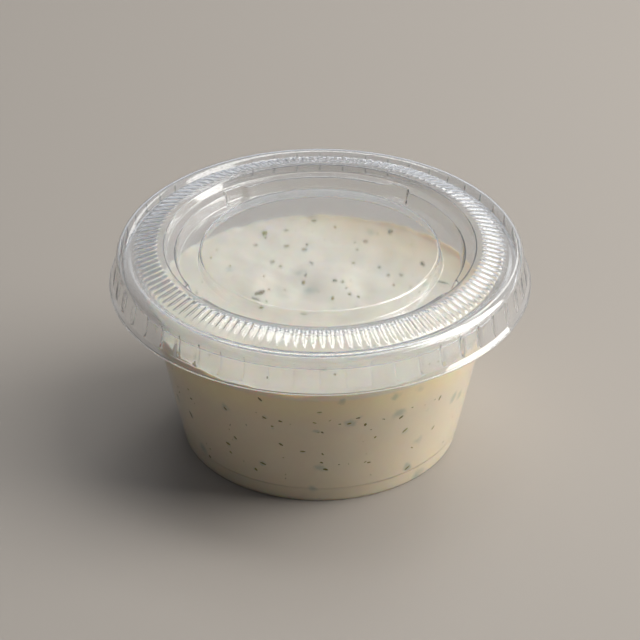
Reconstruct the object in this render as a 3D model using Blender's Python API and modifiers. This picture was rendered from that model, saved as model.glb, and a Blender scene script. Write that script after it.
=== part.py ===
"""A clear portion cup with a press-on lid, filled with a cream herb dip.

Metres, +Z up. The origin is the centre of the foot, on the surface that the cup stands on.
The viewer of the reference stands on the -Y side.
"""

import math
import random

import bmesh
import bpy
from mathutils import Matrix, Vector

MM = 0.001
SEGMENTS = 65                 # flats round every turned piece; two lid ribs lie on each
GAP = 0.3 * MM                # clearance between neighbouring pieces
SHARP_ANGLE = 35.0            # degrees above which an edge is shaded sharp

CUP_WALL = 0.45 * MM
CUP_FOOT_RADIUS = 25.4 * MM   # outer wall carried down to the table
CUP_FLARE = 0.198             # the wall's growth in radius for each unit of height
CUP_FOOT_ROUND = 0.6 * MM
FOOT_RING_WIDTH = 1.3 * MM
BASE_RISE = 0.8 * MM          # the base stands clear of the table inside the foot ring
FOOT_STEPS = 2                # straight pieces round the foot's edge
BAND_HEIGHT = 3.1 * MM        # the step at the top of the base band
BAND_STEP = 0.25 * MM
RIM_HEIGHT = 35.1 * MM        # centre of the rolled rim
RIM_ROLL = 1.85 * MM          # outer radius of the roll
RIM_END = 8.0                 # degrees at which the roll ends, 0 is straight out
RIM_STEPS = 5                 # straight pieces round the roll

LID_WALL = 0.35 * MM
DISC_RADIUS = 21.2 * MM
DISC_TOP = 37.9 * MM
DISC_EDGE = 0.45 * MM
MOAT_FLOOR = 35.5 * MM
MOAT_INNER = 22.0 * MM
MOAT_OUTER = 25.3 * MM
STEP_RADIUS = 26.0 * MM
STEP_TOP = 37.5 * MM
LEDGE_RADIUS = 27.5 * MM      # the narrow ledge between the moat's wall and the crest's
LEDGE_TOP = 37.75 * MM
CREST_INNER = 27.95 * MM
CREST_OUTER = 29.1 * MM
CREST_TOP = 39.1 * MM
SLOPE_OUTER = 33.3 * MM       # foot of the ribbed slope
SLOPE_FOOT = 37.85 * MM
VALLEY_RADIUS = 33.7 * MM
VALLEY_TOP = 37.7 * MM
BEAD_RADIUS = 35.1 * MM
BEAD_HEIGHT = 36.8 * MM       # centre of the bead's round
BEAD_ROUND = 1.5 * MM
SKIRT_TOP = 35.75 * MM
SKIRT_TOP_RADIUS = 36.7 * MM
SKIRT_FOOT = 32.5 * MM
SKIRT_FOOT_RADIUS = 37.3 * MM
FLANGE_RADIUS = 38.0 * MM
FLANGE_FOOT = 31.45 * MM

RIB_COUNT = 2 * SEGMENTS
RIB_WIDTH = 0.72 * MM
RIB_RISE = 0.3 * MM           # height above the slope
RIB_END_GAP = 0.25 * MM       # plain slope left at each end of a rib
RIB_TOP_SHARE = 0.55          # top width over foot width

NOTCH_ANGLES = (35.0, -35.0, 121.0, -121.0)   # degrees from the far side, positive to the right
NOTCH_TURN = -1.9             # degrees by which all four are turned
NOTCH_WIDTH = 8.6             # degrees
NOTCH_REACH = 26.9 * MM       # radius of the notch's outer wall
NOTCH_LIFT = 0.12 * MM        # notch floor above the moat's floor

DIP_LEVEL = 26.4 * MM         # height of the contact line at the wall
DIP_RINGS = 7
BUMP_PLACE = (1.8 * MM, 6.7 * MM)
BUMP_RISE = 0.9 * MM
BUMP_SPREAD = 4.5 * MM
SWIRL_RISE = 0.3 * MM
SWIRL_PITCH = 17.0 * MM
SWIRL_AIM = 37.0              # degrees from +X of the shorter swirl's run

FLECK_COUNT = 44
FLECK_SEED = 7
FLECK_SIDES = 6
FLECK_LENGTH = (0.35 * MM, 1.0 * MM)   # half lengths, smallest and largest
FLECK_THICKNESS = 0.5 * MM
FLECK_TOP_SHARE = 0.7         # top size over foot size
FLECK_NARROWING = 0.5         # width over length
FLECK_SPACING = 3.2 * MM
FLECK_FIELD = 27.0 * MM       # flecks lie within this radius


def clear_scene():
    for thing in list(bpy.data.objects):
        bpy.data.objects.remove(thing, do_unlink=True)


def new_collection(name):
    collection = bpy.data.collections.new(name)
    bpy.context.scene.collection.children.link(collection)
    return collection


def new_material(name, colour, roughness, transmission=0.0):
    material = bpy.data.materials.new(name)
    material.use_nodes = True
    shader = material.node_tree.nodes["Principled BSDF"]
    shader.inputs["Base Color"].default_value = (*colour, 1.0)
    shader.inputs["Roughness"].default_value = roughness
    shader.inputs["Metallic"].default_value = 0.0
    shader.inputs["Transmission Weight"].default_value = transmission
    return material


def add_object(name, mesh, collection, material=None):
    thing = bpy.data.objects.new(name, mesh)
    collection.objects.link(thing)
    if material:
        mesh.materials.append(material)
    return thing


def make_cutter(thing):
    thing.hide_render = True
    thing.display_type = "WIRE"


def arc(centre_radius, centre_height, size, start, end, steps):
    """Points on a round from start to end degrees, where 0 is outwards and 90 is up."""
    points = []
    for step in range(steps + 1):
        turn = math.radians(start + (end - start) * step / steps)
        points.append((centre_radius + size * math.cos(turn), centre_height + size * math.sin(turn)))
    return points


def turned(name, profile, collection, material=None):
    """Spins a profile of (radius, height) points, which runs down its outer side, about +Z."""
    mesh = bpy.data.meshes.new(name)
    points = [(radius, 0.0, height) for radius, height in profile]
    edges = [(index, index + 1) for index in range(len(points) - 1)]
    mesh.from_pydata(points, edges, [])
    thing = add_object(name, mesh, collection, material)
    screw = thing.modifiers.new("turn", "SCREW")
    screw.axis = "Z"
    screw.angle = math.tau
    screw.steps = SEGMENTS
    screw.render_steps = SEGMENTS
    screw.use_merge_vertices = True
    screw.merge_threshold = 0.00001
    screw.use_smooth_shade = True
    return thing


def offset_under(profile, distance):
    """The same profile moved by distance to the side under it, with mitred corners."""
    sides = []
    for (r0, z0), (r1, z1) in zip(profile, profile[1:]):
        length = math.hypot(r1 - r0, z1 - z0)
        sides.append(((z1 - z0) / length, -(r1 - r0) / length))
    points = []
    for index, (radius, height) in enumerate(profile):
        before = sides[max(index - 1, 0)]
        after = sides[min(index, len(sides) - 1)]
        stretch = distance / (1.0 + before[0] * after[0] + before[1] * after[1])
        points.append((radius + (before[0] + after[0]) * stretch, height + (before[1] + after[1]) * stretch))
    return points


def boolean(thing, other, operation):
    modifier = thing.modifiers.new(operation.lower(), "BOOLEAN")
    modifier.object = other
    modifier.operation = operation
    modifier.solver = "EXACT"


def cup_radius(height):
    """Outer radius of the cup's wall above the base band."""
    return CUP_FOOT_RADIUS + CUP_FLARE * height


def cup_inner_radius(height):
    return cup_radius(height) - CUP_WALL * math.hypot(1.0, CUP_FLARE)


def cup_path(foot_steps):
    """The cup's outer face, from the middle of its base out and up to the top of the base band."""
    foot_edge = CUP_FOOT_RADIUS - CUP_FOOT_ROUND
    ring = foot_edge - FOOT_RING_WIDTH
    base = [(0.0, BASE_RISE), (ring - BASE_RISE, BASE_RISE), (ring, 0.0)]
    foot = [(CUP_FOOT_RADIUS, 0.0)]
    if foot_steps:
        foot = arc(foot_edge, CUP_FOOT_ROUND, CUP_FOOT_ROUND, -90.0, 0.0, foot_steps)
    band = [
        (cup_radius(BAND_HEIGHT) - BAND_STEP, BAND_HEIGHT),
        (cup_radius(BAND_HEIGHT + BAND_STEP), BAND_HEIGHT + BAND_STEP),
    ]
    return base + foot + band


def cup_profile():
    """One sheet of even thickness: base, foot ring, wall and rolled rim."""
    curl = RIM_ROLL - CUP_WALL
    rim = arc(cup_radius(RIM_HEIGHT) + curl, RIM_HEIGHT, curl, 180.0, RIM_END, RIM_STEPS)
    outside = cup_path(FOOT_STEPS) + rim
    inside = offset_under(outside, -CUP_WALL)
    inside[0] = (0.0, BASE_RISE + CUP_WALL)
    return inside + outside[::-1]


def lid_top_profile():
    """The lid's upper face, from its middle out to the flange's edge."""
    disc = [(0.0, DISC_TOP), (DISC_RADIUS, DISC_TOP), (DISC_RADIUS + DISC_EDGE, DISC_TOP - DISC_EDGE)]
    moat = [(MOAT_INNER, MOAT_FLOOR), (MOAT_OUTER, MOAT_FLOOR), (STEP_RADIUS, STEP_TOP)]
    crest = [(LEDGE_RADIUS, LEDGE_TOP), (CREST_INNER, CREST_TOP), (CREST_OUTER, CREST_TOP)]
    slope = [(SLOPE_OUTER, SLOPE_FOOT), (VALLEY_RADIUS, VALLEY_TOP)]
    bead = arc(BEAD_RADIUS, BEAD_HEIGHT, BEAD_ROUND, 125.0, 0.0, 4)
    skirt = [(SKIRT_TOP_RADIUS, SKIRT_TOP), (SKIRT_FOOT_RADIUS, SKIRT_FOOT), (FLANGE_RADIUS, FLANGE_FOOT)]
    return disc + moat + crest + slope + bead + skirt


def sector_block(name, inner, outer, low, high, width, collection):
    """A block across the moat's outer wall at every notch, width in degrees."""
    build = bmesh.new()
    for angle in NOTCH_ANGLES:
        made = bmesh.ops.create_cube(build, size=1.0)
        for corner in made["verts"]:
            radius = outer if corner.co.y > 0.0 else inner
            height = high if corner.co.z > 0.0 else low
            side = math.radians(width) * corner.co.x
            turn = math.radians(angle + NOTCH_TURN) + side
            corner.co = Vector((radius * math.sin(turn), radius * math.cos(turn), height))
    bmesh.ops.recalc_face_normals(build, faces=build.faces)
    mesh = bpy.data.meshes.new(name)
    build.to_mesh(mesh)
    build.free()
    thing = add_object(name, mesh, collection)
    make_cutter(thing)
    return thing


def rib_bars(collection):
    """All the radial ribs, as tapered bars sunk into the lid's slope."""
    pitch = math.tau / RIB_COUNT
    run = SLOPE_OUTER - CREST_OUTER
    drop = CREST_TOP - SLOPE_FOOT
    length = math.hypot(run, drop) - 2.0 * RIB_END_GAP
    tilt = Matrix.Rotation(math.atan2(drop, run), 4, "Y")
    middle = Matrix.Translation(((CREST_OUTER + SLOPE_OUTER) / 2.0, 0.0, (CREST_TOP + SLOPE_FOOT) / 2.0))
    first = Matrix.Rotation(pitch / 2.0, 4, "Z")
    build = bmesh.new()
    bmesh.ops.create_cube(build, size=1.0)
    for corner in build.verts:
        top = corner.co.z > 0.0
        corner.co.x *= length
        corner.co.y *= RIB_WIDTH * (RIB_TOP_SHARE if top else 1.0)
        corner.co.z = RIB_RISE if top else -LID_WALL / 2.0
        if top:
            corner.co.x -= math.copysign(RIB_RISE, corner.co.x)
    bmesh.ops.transform(build, matrix=first @ middle @ tilt, verts=build.verts)
    mesh = bpy.data.meshes.new("lid_ribs")
    build.to_mesh(mesh)
    build.free()
    thing = add_object("lid_ribs", mesh, collection)
    step = bpy.data.objects.new("rib_step", None)
    step.rotation_euler = (0.0, 0.0, pitch)
    collection.objects.link(step)
    copies = thing.modifiers.new("round", "ARRAY")
    copies.count = RIB_COUNT
    copies.use_relative_offset = False
    copies.use_object_offset = True
    copies.offset_object = step
    make_cutter(thing)
    return thing


def bake(thing):
    """Replaces an object's mesh with its evaluated one and drops the modifiers."""
    view = bpy.context.evaluated_depsgraph_get()
    mesh = bpy.data.meshes.new_from_object(thing.evaluated_get(view))
    thing.modifiers.clear()
    thing.data = mesh


def shade(thing):
    """Applies the modifiers and shades the rounds smooth and the corners sharp."""
    bake(thing)
    thing.data.shade_smooth()
    thing.data.set_sharp_from_angle(angle=math.radians(SHARP_ANGLE))


def make_cup(parts):
    plastic = new_material("clear_cup", (0.93, 0.94, 0.94), 0.08, 0.9)
    cup = turned("cup", cup_profile(), parts, plastic)
    shade(cup)


def make_lid(parts, cutters):
    plastic = new_material("clear_lid", (0.92, 0.94, 0.95), 0.05, 0.9)
    top = lid_top_profile()
    lid = turned("lid", top + [(0.0, FLANGE_FOOT)], parts, plastic)
    inner = offset_under(top, LID_WALL)
    under = [(inner[-1][0], FLANGE_FOOT - GAP), (0.0, FLANGE_FOOT - GAP)]
    hollow = turned("lid_hollow", inner[:-1] + under, cutters)
    make_cutter(hollow)
    grown = NOTCH_WIDTH + 2.0 * math.degrees(LID_WALL / NOTCH_REACH)
    floor = MOAT_FLOOR + NOTCH_LIFT
    high = CREST_TOP + 1.0 * MM
    notch = sector_block("notches", MOAT_INNER + LID_WALL, NOTCH_REACH, floor, high, NOTCH_WIDTH, cutters)
    backing = sector_block(
        "notch_backs", MOAT_INNER + GAP, NOTCH_REACH + LID_WALL, floor - LID_WALL, high, grown, cutters
    )
    boolean(hollow, backing, "DIFFERENCE")
    boolean(lid, rib_bars(cutters), "UNION")
    boolean(lid, notch, "DIFFERENCE")
    boolean(lid, hollow, "DIFFERENCE")
    shade(lid)


def dip_height(x, y):
    """Height of the dip's soft uneven top."""
    away = math.hypot(x - BUMP_PLACE[0], y - BUMP_PLACE[1])
    bump = BUMP_RISE * math.exp(-((away / BUMP_SPREAD) ** 2))
    aim = math.radians(SWIRL_AIM)
    along = x * math.cos(aim) + y * math.sin(aim)
    wave = math.sin(math.tau * along / SWIRL_PITCH) * math.cos(math.pi * y / SWIRL_PITCH)
    return DIP_LEVEL + bump + SWIRL_RISE * wave


def dip_profile():
    """The level top, then down the inside of the cup and into its foot ring, a gap away."""
    edge = cup_inner_radius(DIP_LEVEL) - GAP
    top = [(edge * ring / DIP_RINGS, DIP_LEVEL) for ring in range(DIP_RINGS + 1)]
    wall = [(cup_radius(DIP_LEVEL), DIP_LEVEL)]
    body = offset_under(cup_path(0) + wall, -CUP_WALL - GAP)
    body[0] = (0.0, BASE_RISE + CUP_WALL + GAP)
    return top + body[-2::-1]


def fleck_places():
    """Centre, half length and turn of each fleck, spread evenly by a seeded draw."""
    draw = random.Random(FLECK_SEED)
    places = []
    while len(places) < FLECK_COUNT:
        radius = FLECK_FIELD * math.sqrt(draw.random())
        turn = draw.uniform(0.0, math.tau)
        spot = Vector((radius * math.cos(turn), radius * math.sin(turn)))
        if all((spot - other[0]).length > FLECK_SPACING for other in places):
            places.append((spot, draw.uniform(*FLECK_LENGTH), draw.uniform(0.0, math.pi)))
    return places


def make_flecks(collection):
    for number, (spot, size, turn) in enumerate(fleck_places()):
        build = bmesh.new()
        bmesh.ops.create_cone(
            build,
            segments=FLECK_SIDES,
            radius1=size,
            radius2=size * FLECK_TOP_SHARE,
            depth=FLECK_THICKNESS,
            cap_ends=True,
        )
        narrow = Matrix.Diagonal((1.0, FLECK_NARROWING, 1.0, 1.0))
        place = Matrix.Translation((spot.x, spot.y, dip_height(spot.x, spot.y)))
        bmesh.ops.transform(build, matrix=place @ Matrix.Rotation(turn, 4, "Z") @ narrow, verts=build.verts)
        mesh = bpy.data.meshes.new("fleck_%02d" % number)
        build.to_mesh(mesh)
        build.free()
        add_object("fleck_%02d" % number, mesh, collection)


def make_dip(parts):
    cream = new_material("herb_dip", (0.75, 0.70, 0.60), 0.35)
    dip = turned("dip", dip_profile(), parts, cream)
    bake(dip)
    edge = cup_inner_radius(DIP_LEVEL) - GAP
    for corner in dip.data.vertices:
        inside = corner.co.to_2d().length < edge - GAP
        if inside and corner.co.z > DIP_LEVEL - GAP:
            corner.co.z = dip_height(corner.co.x, corner.co.y)
    flecks = new_collection("flecks")
    make_flecks(flecks)
    fuse = dip.modifiers.new("flecks", "BOOLEAN")
    fuse.operand_type = "COLLECTION"
    fuse.collection = flecks
    fuse.operation = "UNION"
    fuse.solver = "EXACT"
    shade(dip)
    for fleck in list(flecks.objects):
        bpy.data.objects.remove(fleck, do_unlink=True)
    bpy.data.collections.remove(flecks)


def main():
    clear_scene()
    parts = new_collection("herb_dip_cup")
    cutters = new_collection("cutters")
    make_cup(parts)
    make_lid(parts, cutters)
    make_dip(parts)


main()
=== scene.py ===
import math
import random

import bpy
import numpy as np
from mathutils import Matrix, Vector


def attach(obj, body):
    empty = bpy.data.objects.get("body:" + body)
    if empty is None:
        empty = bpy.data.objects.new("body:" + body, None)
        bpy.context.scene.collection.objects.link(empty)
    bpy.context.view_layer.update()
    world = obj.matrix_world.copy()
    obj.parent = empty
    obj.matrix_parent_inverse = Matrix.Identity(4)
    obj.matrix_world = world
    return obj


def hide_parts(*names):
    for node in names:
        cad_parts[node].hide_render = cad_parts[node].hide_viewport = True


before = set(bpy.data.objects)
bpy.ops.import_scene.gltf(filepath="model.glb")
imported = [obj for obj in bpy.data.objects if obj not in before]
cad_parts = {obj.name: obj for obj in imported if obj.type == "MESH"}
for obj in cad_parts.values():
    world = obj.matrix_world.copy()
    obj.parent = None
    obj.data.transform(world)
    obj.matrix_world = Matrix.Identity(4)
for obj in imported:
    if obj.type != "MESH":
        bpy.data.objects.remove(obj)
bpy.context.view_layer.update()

mm = 0.001
origin = (0.0, 0.0, 0.0)
upward = (0.0, 0.0, 1.0)
mergeWithin = 0.004 * mm                # points closer than this become one
straightCorner = math.radians(88.0)     # half angle past which a corner is left as it is


# picking and moving by hand, in code

def editing(piece):
    bpy.ops.object.select_all(action="DESELECT")
    piece.select_set(True)
    bpy.context.view_layer.objects.active = piece
    bpy.ops.object.mode_set(mode="EDIT")
    bpy.ops.mesh.select_mode(type="VERT")


def doneEditing():
    bpy.ops.object.mode_set(mode="OBJECT")


def places(piece):
    found = np.empty(len(piece.data.vertices) * 3)
    piece.data.vertices.foreach_get("co", found)
    return found.reshape(-1, 3)


# chosen is one true or false for each vertex; the piece comes back in edit mode with just those selected
def pick(piece, chosen):
    mesh = piece.data
    mesh.vertices.foreach_set("select", np.asarray(chosen, bool))
    mesh.edges.foreach_set("select", np.zeros(len(mesh.edges), bool))
    mesh.polygons.foreach_set("select", np.zeros(len(mesh.polygons), bool))
    bpy.ops.object.mode_set(mode="EDIT")


def lift(piece, chosen, rise):
    pick(piece, chosen)
    bpy.ops.transform.translate(value=(0.0, 0.0, rise))
    doneEditing()


# out from the cup's axis, or in towards it
def widen(piece, chosen, factor):
    pick(piece, chosen)
    bpy.ops.transform.resize(value=(factor, factor, 1.0), center_override=origin)
    doneEditing()


# a flat square merged to one point, ready to be extruded along a profile
def startPoint(name, radius, height):
    bpy.ops.object.select_all(action="DESELECT")
    bpy.ops.mesh.primitive_plane_add(size=mm, location=origin)
    piece = bpy.context.object
    piece.name = name
    bpy.ops.object.mode_set(mode="EDIT")
    bpy.ops.mesh.select_mode(type="VERT")
    bpy.ops.mesh.select_all(action="SELECT")
    bpy.ops.mesh.merge(type="CENTER")
    bpy.ops.transform.translate(value=(radius, 0.0, height))
    return piece


def drawProfile(name, profile):
    piece = startPoint(name, *profile[0])
    for (r0, z0), (r1, z1) in zip(profile, profile[1:]):
        bpy.ops.mesh.extrude_region_move(TRANSFORM_OT_translate={"value": (r1 - r0, 0.0, z1 - z0)})
    return piece


def spinAll(steps, angle, copies=False):
    bpy.ops.mesh.select_all(action="SELECT")
    bpy.ops.mesh.spin(steps=steps, dupli=copies, angle=angle, center=origin, axis=upward)


def closeUp():
    bpy.ops.mesh.select_all(action="SELECT")
    bpy.ops.mesh.remove_doubles(threshold=mergeWithin)
    bpy.ops.mesh.normals_make_consistent(inside=False)
    bpy.ops.mesh.select_all(action="DESELECT")
    doneEditing()


# a profile from (radius, height, round) corners, each round an arc of that size
def rounded(corners, steps):
    points = [corners[0][:2]]
    for before, corner, after in zip(corners, corners[1:], corners[2:]):
        here = Vector(corner[:2])
        back = (Vector(before[:2]) - here).normalized()
        on = (Vector(after[:2]) - here).normalized()
        half = back.angle(on) / 2.0
        size = corner[2]
        if size <= 0.0 or half > straightCorner:
            points.append(tuple(here))
            continue
        reach = size / math.tan(half)
        centre = here + (back + on).normalized() * (size / math.sin(half))
        start = here + back * reach - centre
        end = here + on * reach - centre
        turn = start.angle_signed(end)
        for step in range(steps + 1):
            spoke = start.copy()
            spoke.rotate(Matrix.Rotation(-turn * step / steps, 2))
            points.append(tuple(centre + spoke))
    points.append(corners[-1][:2])
    return points


def arcPoints(radius, height, size, start, end, steps):
    turns = [math.radians(start + (end - start) * step / steps) for step in range(steps + 1)]
    return [(radius + size * math.cos(turn), height + size * math.sin(turn)) for turn in turns]


# the same profile moved by the wall to its under side
def under(profile, wall):
    sides = []
    for (r0, z0), (r1, z1) in zip(profile, profile[1:]):
        run = math.hypot(r1 - r0, z1 - z0)
        sides.append(((z1 - z0) / run, -(r1 - r0) / run))
    points = []
    for index, (radius, height) in enumerate(profile):
        before = sides[max(index - 1, 0)]
        after = sides[min(index, len(sides) - 1)]
        share = wall / (1.0 + before[0] * after[0] + before[1] * after[1])
        points.append((radius + (before[0] + after[0]) * share, height + (before[1] + after[1]) * share))
    points[0] = (0.0, points[0][1])
    return points


# edges that turn by more than the crease, in degrees, stay sharp
def finishPiece(piece, material, crease, node):
    piece.data.materials.append(material)
    bpy.ops.object.select_all(action="DESELECT")
    piece.select_set(True)
    bpy.context.view_layer.objects.active = piece
    bpy.ops.object.shade_smooth_by_angle(angle=math.radians(crease))
    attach(piece, "root")
    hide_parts(node)
    print(piece.name, len(piece.data.polygons), "faces")


# nodes that the materials share; a value is a number, a colour or another node's socket

def newMaterial(name):
    material = bpy.data.materials.new(name)
    material.use_nodes = True
    return material, material.node_tree.nodes, material.node_tree.links


def feed(links, value, socket):
    if isinstance(value, tuple):
        socket.default_value = (*value, 1.0)
    elif isinstance(value, float):
        socket.default_value = value
    else:
        links.new(value, socket)


def mixed(nodes, links, share, first, second, blend="MIX"):
    made = nodes.new("ShaderNodeMix")
    made.data_type = "RGBA"
    made.blend_type = blend
    feed(links, share, made.inputs["Factor"])
    feed(links, first, made.inputs[6])
    feed(links, second, made.inputs[7])
    return made.outputs[2]


def joined(nodes, links, operation, first, second):
    made = nodes.new("ShaderNodeMath")
    made.operation = operation
    feed(links, first, made.inputs[0])
    feed(links, second, made.inputs[1])
    return made.outputs[0]


# carried from one range of values into another, at an even pace or a soft one
def ranged(nodes, links, value, source, target, pace="LINEAR"):
    made = nodes.new("ShaderNodeMapRange")
    made.interpolation_type = pace
    for name, amount in zip(("From Min", "From Max", "To Min", "To Max"), (*source, *target)):
        made.inputs[name].default_value = amount
    links.new(value, made.inputs["Value"])
    return made.outputs["Result"]


def noise(nodes, links, place, scale, detail=2.0):
    made = nodes.new("ShaderNodeTexNoise")
    made.inputs["Scale"].default_value = scale
    made.inputs["Detail"].default_value = detail
    links.new(place, made.inputs["Vector"])
    return made


def bumped(nodes, links, shader, grain, strength, depth):
    bump = nodes.new("ShaderNodeBump")
    bump.inputs["Strength"].default_value = strength
    bump.inputs["Distance"].default_value = depth
    links.new(grain.outputs["Fac"], bump.inputs["Height"])
    links.new(bump.outputs["Normal"], shader.inputs["Normal"])


# clear moulded plastic

sheet = {
    "ior": 1.57,
    "rippleScale": 60.0,
    "rippleDepth": 0.2 * mm,
    "lampShare": (0.90, 0.90, 0.90),    # of the lamps' light, what gets through to the dip
}


# glass-like sheet that lets lamp light through to what it holds, with a slight moulding ripple
def clearPlastic(name, look):
    material, nodes, links = newMaterial(name)
    shader = nodes["Principled BSDF"]
    shader.inputs["Base Color"].default_value = (*look["tint"], 1.0)
    shader.inputs["IOR"].default_value = sheet["ior"]
    shader.inputs["Transmission Weight"].default_value = look["clearness"]
    place = nodes.new("ShaderNodeTexCoord").outputs["Object"]
    wave = noise(nodes, links, place, sheet["rippleScale"])
    cloud = ranged(nodes, links, wave.outputs["Fac"], (0.0, 1.0), look["roughness"])
    links.new(cloud, shader.inputs["Roughness"])
    bumped(nodes, links, shader, wave, look["ripple"], sheet["rippleDepth"])
    rays = nodes.new("ShaderNodeLightPath")
    lampLight = joined(nodes, links, "MAXIMUM", rays.outputs["Is Shadow Ray"], rays.outputs["Is Diffuse Ray"])
    passing = nodes.new("ShaderNodeBsdfTransparent")
    passing.inputs["Color"].default_value = (*sheet["lampShare"], 1.0)
    mix = nodes.new("ShaderNodeMixShader")
    links.new(lampLight, mix.inputs[0])
    links.new(shader.outputs[0], mix.inputs[1])
    links.new(passing.outputs[0], mix.inputs[2])
    links.new(mix.outputs[0], nodes["Material Output"].inputs["Surface"])
    return material


# cup

cup = {
    "wall": 0.40 * mm,
    "footRadius": 25.4 * mm,            # the outer wall carried down to the table
    "flare": 0.198,                     # wider by this much for each unit of height
    "footRound": 0.75 * mm,
    "footTuck": 0.05 * mm,
    "ringWidth": 1.2 * mm,
    "ringRound": 0.3 * mm,
    "baseRise": 0.8 * mm,
    "baseRing": 12.0 * mm,
    "bandHeight": 3.1 * mm,
    "bandStep": 0.26 * mm,
    "bandRound": 0.14 * mm,
    "wallRings": (16.0 * mm, 30.0 * mm),
    "rimHeight": 35.1 * mm,
    "rimRoll": 1.85 * mm,
    "rimTurn": (170.0, 8.0, 18),        # from and to in degrees, and steps
    "cornerSteps": 4,
    "steps": 260,
    "crease": 40.0,
    "tint": (0.98, 0.98, 0.98),
    "clearness": 0.985,
    "roughness": (0.03, 0.08),
    "ripple": 0.06,
}


def cupOuter(height):
    return cup["footRadius"] + cup["flare"] * height


# the outer face of the sheet, from the middle of the base out and up to the rim
def cupPath():
    rise = cup["baseRise"]
    band = cup["bandHeight"]
    step = cup["bandStep"]
    ring = cup["footRadius"] - cup["footRound"] - cup["ringWidth"]
    return rounded([
        (0.0, rise, 0.0),
        (cup["baseRing"], rise, 0.0),
        (ring - rise, rise, cup["ringRound"]),
        (ring, 0.0, cup["ringRound"]),
        (cup["footRadius"] - cup["footTuck"], 0.0, cup["footRound"]),
        (cupOuter(band) - step, band, cup["bandRound"]),
        (cupOuter(band + step), band + step, cup["bandRound"]),
        *((cupOuter(height), height, 0.0) for height in cup["wallRings"]),
    ], cup["cornerSteps"])


def buildCup(material):
    curl = cup["rimRoll"] - cup["wall"]
    centre = cupOuter(cup["rimHeight"]) + curl
    outer = cupPath() + arcPoints(centre, cup["rimHeight"], curl, *cup["rimTurn"])
    inner = under(outer, -cup["wall"])
    piece = drawProfile("cupShell", outer + inner[::-1])
    spinAll(cup["steps"], math.tau)
    closeUp()
    finishPiece(piece, material, cup["crease"], "cup")


# lid

lid = {
    "wall": 0.26 * mm,
    "discRing": 10.0 * mm,
    "discRadius": 21.5 * mm,
    "discTop": 37.9 * mm,
    "discRound": 0.55 * mm,
    "moatFloor": 35.5 * mm,
    "moatInner": 22.0 * mm,
    "moatOuter": 25.3 * mm,
    "moatRound": 0.3 * mm,
    "stepRadius": 26.0 * mm,
    "stepTop": 37.5 * mm,
    "ledge": (27.5 * mm, 37.75 * mm),
    "ledgeRound": 0.18 * mm,
    "ledgeStops": (0.2, 0.8),           # shares of the ledge between which it stays flat
    "crestInner": 27.95 * mm,
    "crestOuter": 29.1 * mm,
    "crestTop": 39.1 * mm,
    "crestRound": 0.25 * mm,
    "crestEdge": 0.15 * mm,
    "slopeOuter": 33.3 * mm,
    "slopeFoot": 37.85 * mm,
    "valley": (33.7 * mm, 37.7 * mm),
    "bead": (35.1 * mm, 36.8 * mm, 1.5 * mm, 128.0, 0.0, 9),    # centre, size, turn from and to, steps
    "skirt": ((36.72 * mm, 35.75 * mm), (36.95 * mm, 34.6 * mm), (37.15 * mm, 33.4 * mm)),
    "skirtInside": 36.0 * mm,           # all of the skirt lies further out than this
    "skirtFoot": (37.3 * mm, 32.5 * mm),
    "skirtRound": 0.3 * mm,
    "flange": (37.79 * mm, 31.66 * mm, 0.21 * mm),    # centre and size of the bead on its edge
    "flangeSteps": 10,
    "cornerSteps": 3,
    "crease": 28.0,
    "tint": (0.94, 0.955, 0.975),
    "clearness": 0.955,
    "roughness": (0.04, 0.09),
    "ripple": 0.05,
}
ribs = {
    "count": 130,
    "columns": 6,
    "rise": 0.28 * mm,
    "across": (0.0, 0.1, 0.85, 1.0, 0.85, 0.1),     # share of the rise at each column of a rib
    "endRun": 0.44 * mm,
    "ends": ((0.2, 0.8, 0.55), (0.8, 99.0, 1.0)),   # from and to a share of endRun, share of the rise there
    "middle": (0.33, 0.67),
    "underShare": 0.85,                 # of the rise on the sheet's under side
    "faceShare": 0.6,                   # of the wall, where its upper side is told from its under side
}
pleats = {
    "count": 52,
    "depth": (0.48 * mm, 0.14 * mm),    # at the crease and one column beside it
    "top": 36.2 * mm,
    "foot": 32.6 * mm,
}
notches = {
    "angles": (35.0, -35.0, 121.0, -121.0),
    "turn": -1.9,                       # that all of them are turned by
    "width": 10.6,                      # in degrees, as the angles are
    "push": 0.9 * mm,
    "ease": 4,                          # columns over which the push grows at each end
    "lift": 0.15 * mm,
    "liftFrom": 0.5 * mm,               # below the ledge
    "band": (0.35 * mm, 0.45 * mm),     # inside the moat's outer edge and outside the ledge's inner one
    "faceShare": 0.55,
}


# the round bead at the flange's edge, from its upper to its under side
def flangeArc():
    radius, height, size = lid["flange"]
    steps = lid["flangeSteps"]
    run = Vector((radius - lid["skirtFoot"][0], height - lid["skirtFoot"][1])).normalized()
    face = Vector((-run.y, run.x))
    meet = math.degrees(math.acos(lid["wall"] / 2.0 / size))
    points = []
    for step in range(steps + 1):
        turn = math.radians(-meet + (180.0 + 2.0 * meet) * step / steps)
        spot = Vector((radius, height)) + (face * math.cos(turn) + run * math.sin(turn)) * size
        points.append(tuple(spot))
    return points


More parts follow.
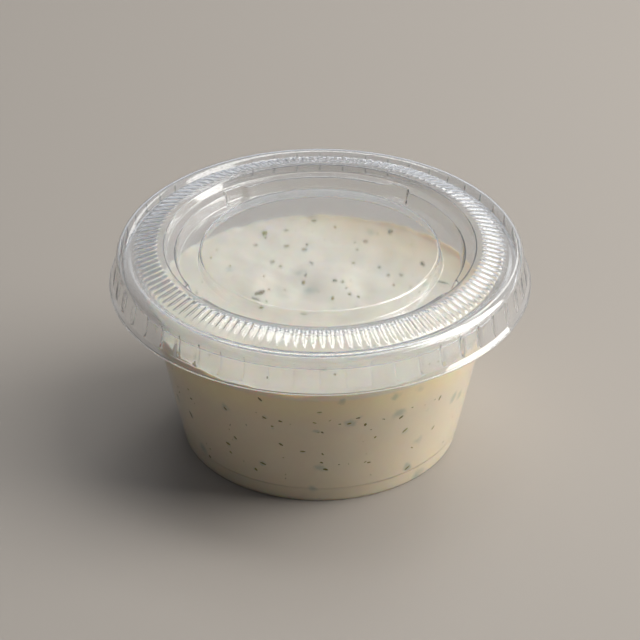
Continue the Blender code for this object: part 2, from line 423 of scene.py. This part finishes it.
def lidTop():
    inner, low = lid["stepRadius"], lid["stepTop"]
    outer, high = lid["ledge"]
    middle = rounded([
        (0.0, lid["discTop"], 0.0),
        (lid["discRing"], lid["discTop"], 0.0),
        (lid["discRadius"], lid["discTop"], lid["discRound"]),
        (lid["moatInner"], lid["moatFloor"], lid["moatRound"]),
        (lid["moatOuter"], lid["moatFloor"], lid["moatRound"]),
        (inner, low, lid["ledgeRound"]),
        *((inner + (outer - inner) * share, low + (high - low) * share, 0.0) for share in lid["ledgeStops"]),
        (outer, high, lid["ledgeRound"]),
        (lid["crestInner"], lid["crestTop"], lid["crestRound"]),
        (lid["crestOuter"] - lid["crestEdge"], lid["crestTop"], 0.0),
    ], lid["cornerSteps"])
    run = lid["slopeOuter"] - lid["crestOuter"]
    drop = lid["crestTop"] - lid["slopeFoot"]
    end = ribs["endRun"] / run
    slope = []
    for share in (0.0, end * 0.5, end, *ribs["middle"], 1.0 - end, 1.0 - end * 0.5, 1.0):
        slope.append((lid["crestOuter"] + run * share, lid["crestTop"] - drop * share))
    bead = arcPoints(*lid["bead"])
    edge = rounded([
        *(point + (0.0,) for point in lid["skirt"]),
        lid["skirtFoot"] + (lid["skirtRound"],),
        flangeArc()[0] + (0.0,),
    ], lid["cornerSteps"])
    return middle + slope + [lid["valley"]] + bead + edge[:-1]


# one rib's width of the lid is raised on both faces, then copied all round
def raiseRibs(piece):
    pitch = math.tau / ribs["count"]
    spinAll(ribs["columns"], pitch)
    doneEditing()
    points = places(piece)
    radius = np.hypot(points[:, 0], points[:, 1])
    turn = np.abs(np.arctan2(points[:, 1], points[:, 0]))
    column = np.rint(turn / pitch * ribs["columns"]).astype(int)
    ends = [lid["crestOuter"], lid["slopeOuter"]]
    slopeHeight = np.interp(radius, ends, [lid["crestTop"], lid["slopeFoot"]])
    upper = points[:, 2] > slopeHeight - lid["wall"] * ribs["faceShare"]
    room = np.minimum(radius - ends[0], ends[1] - radius) / ribs["endRun"]
    for faceRise, face in ((ribs["rise"], upper), (ribs["rise"] * ribs["underShare"], ~upper)):
        for number, height in enumerate(ribs["across"]):
            for low, high, part in ribs["ends"]:
                chosen = face & (column == number) & (room > low) & (room <= high)
                if height > 0.0 and chosen.any():
                    lift(piece, chosen, faceRise * height * part)
    editing(piece)
    spinAll(ribs["count"] - 1, pitch * (ribs["count"] - 1), copies=True)
    closeUp()


# a sharp crease between flat panels of the skirt
def creasePleats(piece, columns):
    points = places(piece)
    radius = np.hypot(points[:, 0], points[:, 1])
    turn = np.arctan2(points[:, 1], points[:, 0]) % math.tau
    column = np.rint(turn / math.tau * columns).astype(int) % columns
    each = columns // pleats["count"]
    onSkirt = (radius > lid["skirtInside"]) & (points[:, 2] < pleats["top"]) & (points[:, 2] > pleats["foot"])
    for number, depth in enumerate(pleats["depth"]):
        chosen = onSkirt & ((column % each == number) | (column % each == (each - number) % each))
        widen(piece, chosen, 1.0 - depth / lid["skirtFoot"][0])


# short pockets in the moat's outer wall, pushed out a little further at each step towards their middle
def pushNotches(piece, columns):
    points = places(piece)
    radius = np.hypot(points[:, 0], points[:, 1])
    azimuth = np.degrees(np.arctan2(points[:, 0], points[:, 1]))
    inside, outside = notches["band"]
    wallBand = (radius > lid["moatOuter"] - inside) & (radius < lid["stepRadius"] + outside)
    wallHeight = np.interp(radius, [lid["moatOuter"], lid["stepRadius"]], [lid["moatFloor"], lid["stepTop"]])
    isTop = points[:, 2] > wallHeight - lid["wall"] * notches["faceShare"]
    nearLedge = points[:, 2] > lid["stepTop"] - notches["liftFrom"]
    columnTurn = 360.0 / columns
    grow = 1.0 + notches["push"] / lid["stepRadius"] / notches["ease"]
    for angle in notches["angles"]:
        away = np.abs((azimuth - angle - notches["turn"] + 180.0) % 360.0 - 180.0)
        for inward in range(notches["ease"]):
            reach = notches["width"] / 2.0 + np.where(isTop, 0.0, columnTurn) - inward * columnTurn
            widen(piece, wallBand & (away < reach), grow)
            lift(piece, wallBand & (away < reach) & nearLedge, notches["lift"] / notches["ease"])


def buildLid(material):
    top = lidTop()
    bottom = under(top, lid["wall"])
    piece = drawProfile("lidShell", top + flangeArc() + bottom[::-1])
    raiseRibs(piece)
    columns = ribs["count"] * ribs["columns"]
    creasePleats(piece, columns)
    pushNotches(piece, columns)
    finishPiece(piece, material, lid["crease"], "lid")


# dip

dip = {
    "level": 26.4 * mm,
    "onLevel": 0.01 * mm,               # within this of the level counts as the top
    "intoWall": 0.1 * mm,               # it reaches just into the cup's wall, so no air shows between them
    "steps": 240,
    "rings": 48,
    "sideRings": (4.0 * mm, 1.2 * mm),  # below the level
    "plainBelow": 2.0 * mm,             # it follows the cup's own rings up to this far below the level
    "rimBand": 1.2,                     # how many rings in from the wall the rim's relief reaches
    "lipBand": 0.6,                     # and the lip
    "lip": 0.3 * mm,                    # how far it climbs at the wall
    "dabReach": 0.5 * mm,               # points this near a dab or fold are moved first, and the rest follow
    "foldReach": 0.4 * mm,
    "crease": 60.0,
}
dipRelief = [
    {"size": 14.0 * mm, "rise": 0.8 * mm, "where": "top"},
    {"size": 6.0 * mm, "rise": 0.4 * mm, "where": "top"},
    {"size": 1.8 * mm, "rise": 0.07 * mm, "where": "top"},
    {"size": 3.0 * mm, "rise": 1.2 * mm, "where": "rim"},
    {"size": 0.9 * mm, "rise": 0.5 * mm, "where": "rim"},
]
# soft lumps and hollows left by the spoon, in mm
dipDabs = [
    {"at": (1.8, 6.7), "rise": 0.85, "spread": 7.5},
    {"at": (-4.5, 3.0), "rise": -0.5, "spread": 8.0},
    {"at": (7.5, 13.0), "rise": -0.4, "spread": 11.0},
    {"at": (-13.0, 11.0), "rise": 0.3, "spread": 12.0},
    {"at": (10.0, -9.0), "rise": 0.25, "spread": 12.0},
]
# curved ridges where it was stirred, in mm and degrees
dipFolds = [
    {"centre": (2.0, 4.0), "radius": 7.5, "from": 60.0, "to": 190.0, "rise": 0.24, "spread": 2.6},
    {"centre": (1.0, 3.0), "radius": 12.5, "from": 20.0, "to": 150.0, "rise": -0.2, "spread": 3.2},
    {"centre": (4.0, 1.0), "radius": 17.0, "from": 75.0, "to": 170.0, "rise": 0.2, "spread": 3.0},
    {"centre": (-3.0, 2.0), "radius": 14.0, "from": -80.0, "to": 20.0, "rise": 0.22, "spread": 3.4},
    {"centre": (0.0, 0.0), "radius": 22.0, "from": 190.0, "to": 290.0, "rise": 0.16, "spread": 3.0},
    {"centre": (-6.0, 14.0), "radius": 9.0, "from": 60.0, "to": 170.0, "rise": 0.14, "spread": 2.2},
]
cream = {
    "deep": (0.82, 0.76, 0.62),
    "light": (0.89, 0.84, 0.71),
    "driftScale": 70.0,                 # of the drifts from one to the other
    "driftBend": 2.0,
    "herbShade": (0.46, 0.54, 0.48),    # herbs seen through the cream
    "bend": 2.2 * mm,                   # how far their shades are pulled out of shape
    "bendScale": 500.0,
    "spotScale": 150.0,
    "spotFade": (0.04, 0.24),
    "spotStrength": 0.75,
    "spotShare": 0.5,                   # of the cells, how many stay without a spot
    "haloStrength": 0.3,
    "smudgeStrength": 0.62,
    "smudgeCore": 0.2,                  # share of a smudge's reach that is at full strength
    # painted light: a warmer, slightly darker tint on the side, for the warm bounce light that reaches it
    "paintedBounceTint": (0.98, 0.93, 0.865),
    "sideFrom": (0.9 * mm, 1.6 * mm),   # below the level, where the top's colour gives way to the side's
    "paintedGlowTint": (1.16, 1.025, 0.83),   # painted glow just under the flange, brighter and warmer, for light that comes through the cream from its top
    "paintedGlowFrom": (9.0 * mm, 2.0 * mm),
    # painted shade: the top darker and browner near its back right wall
    "wallShadeTint": (0.92, 0.83, 0.68),
    "wallShadeSide": (0.62, 0.785, 0.0),      # towards the back right, where the shade of the cup's wall and the lid's rim is painted onto the top
    "wallShadeFrom": (14.0 * mm, 28.0 * mm),
    "specular": 0.4,
    "scatter": (1.0, 0.62, 0.34),
    "scatterDepth": 1.0 * mm,
    "roughness": (0.3, 0.5),
    "roughScale": 260.0,
    "grainScale": 900.0,
    "grain": 0.25,
    "grainDepth": 0.15 * mm,
}
# soft shades of herbs just behind the side: degrees round from the front, height and reach in mm
sideSmudges = [
    (-67.0, 12.6, 1.2),
    (-34.9, 19.3, 1.3),
    (-22.1, 8.2, 1.0),
    (-3.3, 3.2, 1.3),
    (-1.5, 17.8, 0.9),
    (-0.1, 8.6, 1.3),
    (7.0, 25.0, 0.9),
    (10.5, 19.4, 1.4),
    (25.8, 24.0, 1.3),
    (28.4, 19.4, 1.8),
    (36.6, 4.5, 1.4),
    (62.0, 15.0, 1.3),
    (150.0, 9.0, 1.4),
    (-150.0, 21.0, 1.5),
]


def dipSideRadius(height):
    inside = cup["wall"] - dip["intoWall"]
    return cupOuter(height) - inside * math.hypot(1.0, cup["flare"])


# herbs just under the surface, as soft shades: some anywhere, and some in chosen places on the side
def herbShades(nodes, links, bent):
    spots = nodes.new("ShaderNodeTexVoronoi")
    spots.inputs["Scale"].default_value = cream["spotScale"]
    links.new(bent, spots.inputs["Vector"])
    fade = ranged(nodes, links, spots.outputs["Distance"], cream["spotFade"], (cream["spotStrength"], 0.0))
    chance = nodes.new("ShaderNodeSeparateColor")
    links.new(spots.outputs["Color"], chance.inputs[0])
    some = joined(nodes, links, "GREATER_THAN", chance.outputs[0], cream["spotShare"])
    dark = joined(nodes, links, "MULTIPLY", fade, some)
    shades = [(azimuth, height, half + herbs["halo"], cream["haloStrength"])
              for azimuth, height, half, _, _, _ in sideHerbs]
    shades += [smudge + (cream["smudgeStrength"],) for smudge in sideSmudges]
    for azimuth, height, reach, strength in shades:
        turn = math.radians(azimuth)
        radius = dipSideRadius(height * mm)
        place = Vector((radius * math.sin(turn), -radius * math.cos(turn), height * mm))
        away = nodes.new("ShaderNodeVectorMath")
        away.operation = "DISTANCE"
        away.inputs[1].default_value = place + Vector((0.5, 0.5, 0.5)) * cream["bend"]    # the mean bend
        links.new(bent, away.inputs[0])
        edge = (cream["smudgeCore"] * reach * mm, reach * mm)
        near = ranged(nodes, links, away.outputs["Value"], edge, (strength, 0.0), "SMOOTHSTEP")
        dark = joined(nodes, links, "MAXIMUM", dark, near)
    return dark


def creamMaterial():
    material, nodes, links = newMaterial("creamDip")
    shader = nodes["Principled BSDF"]
    shader.inputs["Specular IOR Level"].default_value = cream["specular"]
    shader.inputs["Subsurface Weight"].default_value = 1.0
    shader.inputs["Subsurface Radius"].default_value = cream["scatter"]
    shader.inputs["Subsurface Scale"].default_value = cream["scatterDepth"]
    place = nodes.new("ShaderNodeTexCoord").outputs["Object"]
    drift = noise(nodes, links, place, cream["driftScale"], 3.0)
    drift.inputs["Distortion"].default_value = cream["driftBend"]
    ground = mixed(nodes, links, drift.outputs["Fac"], cream["deep"], cream["light"])
    bent = nodes.new("ShaderNodeVectorMath")
    bent.operation = "MULTIPLY_ADD"
    bent.inputs[1].default_value = (cream["bend"],) * 3
    links.new(noise(nodes, links, place, cream["bendScale"]).outputs["Color"], bent.inputs[0])
    links.new(place, bent.inputs[2])
    herbed = mixed(nodes, links, herbShades(nodes, links, bent.outputs[0]), ground, cream["herbShade"])

    # painted light on the cream: the side is made warmer and a little darker to stand in for warm bounce
    # light and shade, a brighter warm glow is painted most of all just under the flange, and painted shade
    # darkens and browns the top at its back right edge by the wall
    axes = nodes.new("ShaderNodeSeparateXYZ")
    links.new(place, axes.inputs[0])

    def atHeights(start, end):
        ends = (dip["level"] - start, dip["level"] - end)
        return ranged(nodes, links, axes.outputs["Z"], ends, (0.0, 1.0), "SMOOTHSTEP")

    def tinted(colour, share, tint):
        return mixed(nodes, links, share, colour, tint, "MULTIPLY")

    below = atHeights(*cream["sideFrom"])
    # painted glow: strongest just under the flange, fading out lower down the side
    upper = joined(nodes, links, "MULTIPLY", below, atHeights(*cream["paintedGlowFrom"]))
    # painted shade on the top, growing towards the back right wall
    towards = nodes.new("ShaderNodeVectorMath")
    towards.operation = "DOT_PRODUCT"
    towards.inputs[1].default_value = cream["wallShadeSide"]
    links.new(place, towards.inputs[0])
    nearShadedWall = ranged(nodes, links, towards.outputs["Value"], cream["wallShadeFrom"], (0.0, 1.0), "SMOOTHSTEP")
    paintedWallShade = joined(nodes, links, "MULTIPLY", nearShadedWall, atHeights(*cream["sideFrom"][::-1]))
    # painted bounce light on the side, under the top
    withPaintedBounce = tinted(herbed, below, cream["paintedBounceTint"])
    paintedGlowOverSide = tuple(whole / side for whole, side in zip(cream["paintedGlowTint"], cream["paintedBounceTint"]))
    withPaintedGlow = tinted(withPaintedBounce, upper, paintedGlowOverSide)
    links.new(tinted(withPaintedGlow, paintedWallShade, cream["wallShadeTint"]), shader.inputs["Base Color"])
    gloss = noise(nodes, links, place, cream["roughScale"], 3.0).outputs["Fac"]
    links.new(ranged(nodes, links, gloss, (0.0, 1.0), cream["roughness"]), shader.inputs["Roughness"])
    grain = noise(nodes, links, place, cream["grainScale"], 4.0)
    bumped(nodes, links, shader, grain, cream["grain"], cream["grainDepth"])
    return material


# a soft lump, hollow or ridge left by the spoon
def pressNear(piece, chosen, rise, spread):
    pick(piece, chosen)
    bpy.ops.transform.translate(
        value=(0.0, 0.0, rise * mm),
        use_proportional_edit=True,
        use_proportional_connected=True,
        proportional_edit_falloff="SMOOTH",
        proportional_size=spread * mm,
    )
    doneEditing()


def buildDip(material):
    level = dip["level"]
    edge = dipSideRadius(level)
    outline = under(cupPath(), dip["intoWall"] - cup["wall"])
    body = [point for point in outline if point[1] < level - dip["plainBelow"]]
    body += [(dipSideRadius(level - drop), level - drop) for drop in dip["sideRings"]]
    top = [(edge * ring / dip["rings"], level) for ring in range(dip["rings"] + 1)]
    piece = drawProfile("dipBody", top + body[::-1])
    spinAll(dip["steps"], math.tau)
    closeUp()

    # uneven top and contact line
    points = places(piece)
    radius = np.hypot(points[:, 0], points[:, 1])
    onTop = points[:, 2] > level - dip["onLevel"]
    areas = {"top": onTop, "rim": onTop & (radius > edge * (1.0 - dip["rimBand"] / dip["rings"]))}
    for name, chosen in areas.items():
        group = piece.vertex_groups.new(name=name)
        group.add([int(index) for index in np.nonzero(chosen)[0]], 1.0, "ADD")
    for layer in dipRelief:
        cloud = bpy.data.textures.new("cream", type="CLOUDS")
        cloud.noise_scale = layer["size"]
        relief = piece.modifiers.new("relief", "DISPLACE")
        relief.texture = cloud
        relief.texture_coords = "LOCAL"
        relief.direction = "Z"
        relief.strength = layer["rise"]
        relief.mid_level = 0.5
        relief.vertex_group = layer["where"]
        bpy.ops.object.modifier_apply(modifier=relief.name)
    piece.vertex_groups.clear()

    lift(piece, onTop & (radius > edge * (1.0 - dip["lipBand"] / dip["rings"])), dip["lip"])
    for dab in dipDabs:
        away = np.hypot(points[:, 0] - dab["at"][0] * mm, points[:, 1] - dab["at"][1] * mm)
        pressNear(piece, onTop & (away < dip["dabReach"]), dab["rise"], dab["spread"])
    for fold in dipFolds:
        x = points[:, 0] - fold["centre"][0] * mm
        y = points[:, 1] - fold["centre"][1] * mm
        turn = (np.degrees(np.arctan2(y, x)) - fold["from"]) % 360.0
        beside = np.abs(np.hypot(x, y) - fold["radius"] * mm) < dip["foldReach"]
        pressNear(piece, onTop & beside & (turn < fold["to"] - fold["from"]), fold["rise"], fold["spread"])
    finishPiece(piece, material, dip["crease"], "dip")
    return piece


# herbs

herbs = {
    "seed": 11,
    "kinds": 5,
    "crumple": 0.32,
    "topCount": 104,
    "sideCount": 110,
    "half": (0.13 * mm, 0.42 * mm),     # half lengths of the small ones
    "halfBias": 1.6,                    # the higher, the more of them are short
    "flatTop": 0.14 * mm,               # half thickness on top and on the side
    "flatSide": 0.05 * mm,
    "topSize": 1.2,                     # by which the ones in topHerbs are enlarged
    "topBelow": 2.0 * mm,               # within this of the level is the top they lie on
    "topField": 28.5 * mm,
    "topSpacing": 1.5 * mm,
    "topSlim": (0.3, 0.8),
    "topTone": (0.1, 1.0),
    "sideField": (3.8 * mm, 1.5 * mm),  # above the foot and below the level
    "sideFront": 1.2,                   # radians round from the front, past which they are larger
    "sideBehind": 1.35,
    "sideLean": 1.2,
    "sideSlim": (0.25, 0.7),
    "sideTone": (0.0, 1.0),
    "sidePale": 0.18,                   # how much paler the cup's wall makes the side's
    "halo": 0.3,                        # how far in mm a soft shade reaches round the ones in sideHerbs
    "crease": 70.0,
    "darkest": (0.10, 0.095, 0.02),
    "tones": ((0.35, (0.27, 0.24, 0.04)), (0.7, (0.48, 0.42, 0.11))),
    "palest": (0.66, 0.58, 0.32),
    "grainScale": 2500.0,
    "grain": 0.3,
    "specular": 0.2,
    "roughness": (0.35, 0.7),
}
# the ones that stand out on top: place, half length, turn in degrees, slimness, tone from dark to pale
topHerbs = [
    (-10.4, 23.8, 0.75, 80.0, 0.65, 0.45),
    (13.3, 24.5, 0.60, 60.0, 0.70, 0.10),
    (-1.1, 28.4, 0.45, 0.0, 0.60, 0.25),
    (-6.3, 24.5, 0.45, 10.0, 0.50, 0.40),
    (-12.1, 19.4, 0.45, 15.0, 0.50, 0.15),
    (-6.3, 19.1, 0.60, 20.0, 0.45, 0.50),
    (-2.9, 17.6, 0.50, -10.0, 0.50, 0.45),
    (8.6, 20.9, 0.50, 0.0, 0.45, 0.20),
    (-8.8, 13.3, 0.50, 30.0, 0.50, 0.50),
    (-7.3, 11.9, 0.35, 20.0, 0.60, 0.40),
    (-1.5, 13.3, 0.95, -45.0, 0.16, 0.10),
    (6.2, 13.7, 0.40, -10.0, 0.50, 0.50),
    (11.0, 12.3, 0.28, 0.0, 0.90, 0.10),
    (19.0, 13.0, 0.70, 110.0, 0.45, 0.05),
    (15.0, 9.1, 0.48, -50.0, 0.35, 0.15),
    (13.5, 5.7, 0.35, 90.0, 0.50, 0.10),
    (-3.0, 6.3, 0.50, 70.0, 0.60, 0.35),
    (-2.6, 8.4, 0.42, 60.0, 0.40, 0.10),
    (2.7, 6.0, 0.42, 0.0, 0.70, 0.10),
    (4.1, 5.7, 0.36, 0.0, 0.60, 0.45),
    (5.4, 2.2, 0.34, 0.0, 0.70, 0.20),
    (2.3, 0.9, 0.48, 80.0, 0.50, 0.55),
    (-11.0, 2.6, 1.05, 32.0, 0.42, 0.15),
    (-11.6, 0.6, 0.85, -30.0, 0.14, 0.15),
    (-10.6, -2.2, 0.42, 0.0, 0.40, 0.55),
    (-2.8, -4.2, 0.70, 0.0, 0.22, 0.50),
    (22.5, 6.3, 1.20, -28.0, 0.12, 0.15),
]
# and on the side: degrees round from the front, height, half length, lean in degrees, slimness, tone
sideHerbs = [
    (-56.7, 12.0, 0.80, -65.0, 0.30, 0.00),
    (-34.9, 19.3, 0.42, -50.0, 0.40, 0.20),
    (-36.7, 10.4, 0.50, -20.0, 0.50, 0.30),
    (-32.7, 12.7, 0.42, -50.0, 0.40, 0.10),
    (-25.5, 6.2, 0.36, -60.0, 0.60, 0.40),
    (-22.1, 8.2, 0.60, -20.0, 0.30, 0.20),
    (-20.3, 24.2, 0.52, -50.0, 0.40, 0.05),
    (-19.5, 19.9, 0.42, -25.0, 0.40, 0.30),
    (-16.9, 18.1, 0.28, 0.0, 0.60, 0.60),
    (-14.2, 13.9, 0.48, -35.0, 0.40, 0.10),
    (-6.3, 12.7, 0.46, 0.0, 0.35, 0.40),
    (-0.1, 22.5, 0.50, 10.0, 0.25, 0.65),
    (2.1, 8.3, 0.50, -20.0, 0.50, 0.05),
    (10.1, 19.4, 0.42, 10.0, 0.50, 0.30),
    (13.1, 20.5, 0.42, 5.0, 0.40, 0.05),
    (15.9, 18.6, 0.34, 60.0, 0.70, 0.10),
    (20.1, 15.0, 0.28, 45.0, 0.60, 0.50),
    (29.5, 18.3, 0.52, 30.0, 0.35, 0.15),
    (32.2, 14.6, 0.68, 35.0, 0.25, 0.50),
    (36.7, 4.4, 0.60, 35.0, 0.30, 0.20),
    (46.9, 11.7, 0.50, 40.0, 0.30, 0.50),
    (47.0, 18.8, 0.62, 70.0, 0.30, 0.30),
]


def herbMaterial():
    material, nodes, links = newMaterial("herbGreen")
    shader = nodes["Principled BSDF"]
    shader.inputs["Specular IOR Level"].default_value = herbs["specular"]
    tone = nodes.new("ShaderNodeAttribute")
    tone.attribute_name = "tone"
    ramp = nodes.new("ShaderNodeValToRGB")
    stops = ramp.color_ramp.elements
    stops[0].color = (*herbs["darkest"], 1.0)
    stops[1].color = (*herbs["palest"], 1.0)
    for at, colour in herbs["tones"]:
        stops.new(at).color = (*colour, 1.0)
    links.new(tone.outputs["Fac"], ramp.inputs["Fac"])
    place = nodes.new("ShaderNodeTexCoord").outputs["Object"]
    grain = noise(nodes, links, place, herbs["grainScale"]).outputs["Fac"]
    green = mixed(nodes, links, herbs["grain"], ramp.outputs["Color"], grain, "MULTIPLY")
    links.new(green, shader.inputs["Base Color"])
    links.new(ranged(nodes, links, grain, (0.0, 1.0), herbs["roughness"]), shader.inputs["Roughness"])
    return material


# a few crumpled chips, each of unit half length along X and flat in Z
def herbKinds():
    kinds = []
    for number in range(herbs["kinds"]):
        bpy.ops.object.select_all(action="DESELECT")
        bpy.ops.mesh.primitive_ico_sphere_add(subdivisions=2, radius=1.0, location=origin)
        kind = bpy.context.object
        kind.name = "herbKind%d" % number
        bpy.ops.object.mode_set(mode="EDIT")
        bpy.ops.mesh.select_all(action="SELECT")
        bpy.ops.transform.vertex_random(offset=herbs["crumple"], seed=number + 3)
        doneEditing()
        kinds.append(kind)
    return kinds


def placeHerbs(dipBody, material):
    draw = random.Random(herbs["seed"])
    kinds = herbKinds()
    surface = places(dipBody)
    top = surface[surface[:, 2] > dip["level"] - herbs["topBelow"]]
    chips = []
    tones = []

    def chip(matrix, half, slim, flat, tone):
        kind = kinds[draw.randrange(len(kinds))]
        copy = kind.copy()
        copy.data = kind.data.copy()
        bpy.context.scene.collection.objects.link(copy)
        copy.data.transform(matrix @ Matrix.Diagonal((half, half * slim, flat, 1.0)))
        chips.append(copy)
        tones.extend([tone] * len(copy.data.vertices))

    def onTop(x, y, half, turn, slim, tone):
        height = top[np.argmin(np.hypot(top[:, 0] - x, top[:, 1] - y)), 2]
        place = Matrix.Translation((x, y, height)) @ Matrix.Rotation(turn, 4, "Z")
        chip(place, half, slim, herbs["flatTop"], tone)

    def onSide(azimuth, height, half, lean, slim, tone):
        out = Matrix.Rotation(azimuth - math.pi / 2.0, 4, "Z")
        out @= Matrix.Translation((dipSideRadius(height), 0.0, height))
        face = Matrix.Rotation(math.pi / 2.0 + math.atan(cup["flare"]), 4, "Y")
        face @= Matrix.Rotation(math.pi / 2.0 + lean, 4, "Z")
        chip(out @ face, half, slim, herbs["flatSide"], tone + (1.0 - tone) * herbs["sidePale"])

    def anyHalf():
        short, long = herbs["half"]
        return short + (long - short) * draw.random() ** herbs["halfBias"]

    taken = []
    for x, y, half, turn, slim, tone in topHerbs:
        onTop(x * mm, y * mm, half * herbs["topSize"] * mm, math.radians(turn), slim, tone)
        taken.append((x * mm, y * mm))
    while len(taken) < herbs["topCount"]:
        radius = herbs["topField"] * math.sqrt(draw.random())
        turn = draw.uniform(0.0, math.tau)
        x, y = radius * math.cos(turn), radius * math.sin(turn)
        if min(math.hypot(x - a, y - b) for a, b in taken) > herbs["topSpacing"]:
            half = anyHalf()
            turn = draw.uniform(0.0, math.pi)
            slim = draw.uniform(*herbs["topSlim"])
            tone = draw.uniform(*herbs["topTone"])
            onTop(x, y, half, turn, slim, tone)
            taken.append((x, y))
    low, gap = herbs["sideField"]
    for azimuth, height, half, lean, slim, tone in sideHerbs:
        onSide(math.radians(azimuth), height * mm, half * mm, math.radians(lean), slim, tone)
    for _ in range(herbs["sideCount"]):
        azimuth = draw.uniform(-math.pi, math.pi)
        height = draw.uniform(low, dip["level"] - gap)
        size = 1.0 if abs(azimuth) < herbs["sideFront"] else herbs["sideBehind"]
        lean = draw.uniform(-herbs["sideLean"], herbs["sideLean"])
        half = anyHalf() * size
        slim = draw.uniform(*herbs["sideSlim"])
        tone = draw.uniform(*herbs["sideTone"])
        onSide(azimuth, height, half, lean, slim, tone)

    bpy.ops.object.select_all(action="DESELECT")
    for copy in chips:
        copy.select_set(True)
    bpy.context.view_layer.objects.active = chips[0]
    bpy.ops.object.join()
    flecks = bpy.context.object
    flecks.name = "herbFlecks"
    tone = flecks.data.attributes.new("tone", "FLOAT", "POINT")
    tone.data.foreach_set("value", np.array(tones, np.float32))
    for kind in kinds:
        bpy.data.objects.remove(kind)
    finishPiece(flecks, material, herbs["crease"], "dip")


# studio

studio = {
    "floor": (0.38, 0.347, 0.31),
    "floorRough": 0.6,
    "floorSize": 4.0,
    "low": (0.078, 0.068, 0.052),       # the room's light near the ground
    "high": (0.120, 0.128, 0.146),      # overhead
    "rise": (0.05, 0.5),                # heights, as Z of the direction, from the one to the other
    "glow": (0.85, 0.89, 0.95),         # and low behind the cup, where it is brightest
    "glowBack": (0.35, 1.0),            # Y of the direction from which it grows
    "glowLow": (0.15, 0.42),            # Z up to which it fades
    "aim": (0.0, 0.0, 0.02),
}
# each from is an azimuth in degrees round to the right from the viewer's side, an elevation and a distance
lamps = [
    {
        "name": "window",
        "from": (93.0, 33.0, 0.9),
        "size": (0.62, 0.92),
        "power": 11.2,
        "colour": (1.0, 0.98, 0.95),
    },
    {
        "name": "right",
        "from": (157.0, 38.0, 0.9),
        "size": (0.22, 0.30),
        "power": 0.62,
        "colour": (1.0, 0.99, 0.97),
    },
    {
        "name": "back",
        "from": (155.0, 65.0, 0.9),
        "size": (0.80, 0.25),
        "power": 2.8,
        "colour": (1.0, 0.99, 0.97),
    },
]


def around(azimuth, elevation, distance):
    turn = math.radians(azimuth)
    up = math.radians(elevation)
    return Vector((math.sin(turn) * math.cos(up), -math.cos(turn) * math.cos(up), math.sin(up))) * distance


def buildFloor():
    bpy.ops.object.select_all(action="DESELECT")
    bpy.ops.mesh.primitive_plane_add(size=studio["floorSize"], location=origin)
    floor = bpy.context.object
    floor.name = "floor"
    material = newMaterial("paleFloor")[0]
    shader = material.node_tree.nodes["Principled BSDF"]
    shader.inputs["Base Color"].default_value = (*studio["floor"], 1.0)
    shader.inputs["Roughness"].default_value = studio["floorRough"]
    floor.data.materials.append(material)


def buildRoomLight():
    world = bpy.data.worlds.new("studio")
    world.use_nodes = True
    nodes, links = world.node_tree.nodes, world.node_tree.links
    axes = nodes.new("ShaderNodeSeparateXYZ")
    links.new(nodes.new("ShaderNodeTexCoord").outputs["Generated"], axes.inputs[0])
    backward, height = axes.outputs["Y"], axes.outputs["Z"]
    behind = ranged(nodes, links, backward, studio["glowBack"], (0.0, 1.0), "SMOOTHSTEP")
    lowDown = ranged(nodes, links, height, studio["glowLow"], (1.0, 0.0), "SMOOTHSTEP")
    overhead = ranged(nodes, links, height, studio["rise"], (0.0, 1.0), "SMOOTHSTEP")
    room = mixed(nodes, links, overhead, studio["low"], studio["high"])
    glow = joined(nodes, links, "MULTIPLY", behind, lowDown)
    links.new(mixed(nodes, links, glow, room, studio["glow"]), nodes["Background"].inputs["Color"])
    bpy.context.scene.world = world


def buildLamps():
    for lamp in lamps:
        light = bpy.data.lights.new(lamp["name"], "AREA")
        light.shape = "RECTANGLE"
        light.size, light.size_y = lamp["size"]
        light.energy = lamp["power"]
        light.color = lamp["colour"]
        holder = bpy.data.objects.new(lamp["name"], light)
        holder.location = around(*lamp["from"])
        aim = Vector(studio["aim"]) - holder.location
        holder.rotation_euler = aim.to_track_quat("-Z", "Y").to_euler()
        bpy.context.scene.collection.objects.link(holder)


view = {
    "elevation": 31.25,                 # degrees, from the photograph's ellipses
    "distance": 0.502,
    "axisHeight": 37.9 * mm,            # the point of the cup's axis that the distance is measured to
    "drop": 1.487,                      # degrees that the camera looks below that point
    "lens": 157.5,
    "sensor": 36.0,
    "nearest": 0.01,
}


def buildCamera():
    camera = bpy.data.cameras.new("camera")
    camera.lens = view["lens"]
    camera.sensor_width = view["sensor"]
    camera.clip_start = view["nearest"]
    holder = bpy.data.objects.new("camera", camera)
    up = math.radians(view["elevation"])
    back, high = view["distance"] * math.cos(up), view["distance"] * math.sin(up)
    holder.location = (0.0, -back, view["axisHeight"] + high)
    holder.rotation_euler = (math.radians(90.0 - view["elevation"] - view["drop"]), 0.0, 0.0)
    bpy.context.scene.collection.objects.link(holder)
    bpy.context.scene.camera = holder


buildCamera()
buildFloor()
buildRoomLight()
buildLamps()
print("camera and studio set")

buildCup(clearPlastic("clearCup", cup))
buildLid(clearPlastic("clearLid", lid))
placeHerbs(buildDip(creamMaterial()), herbMaterial())
print("pieces built")

# enough for light to pass both walls of the cup and the lid
rendering = bpy.context.scene.cycles
rendering.max_bounces = 24
rendering.transmission_bounces = 24
rendering.transparent_max_bounces = 32
bpy.context.scene.view_settings.view_transform = "Standard"
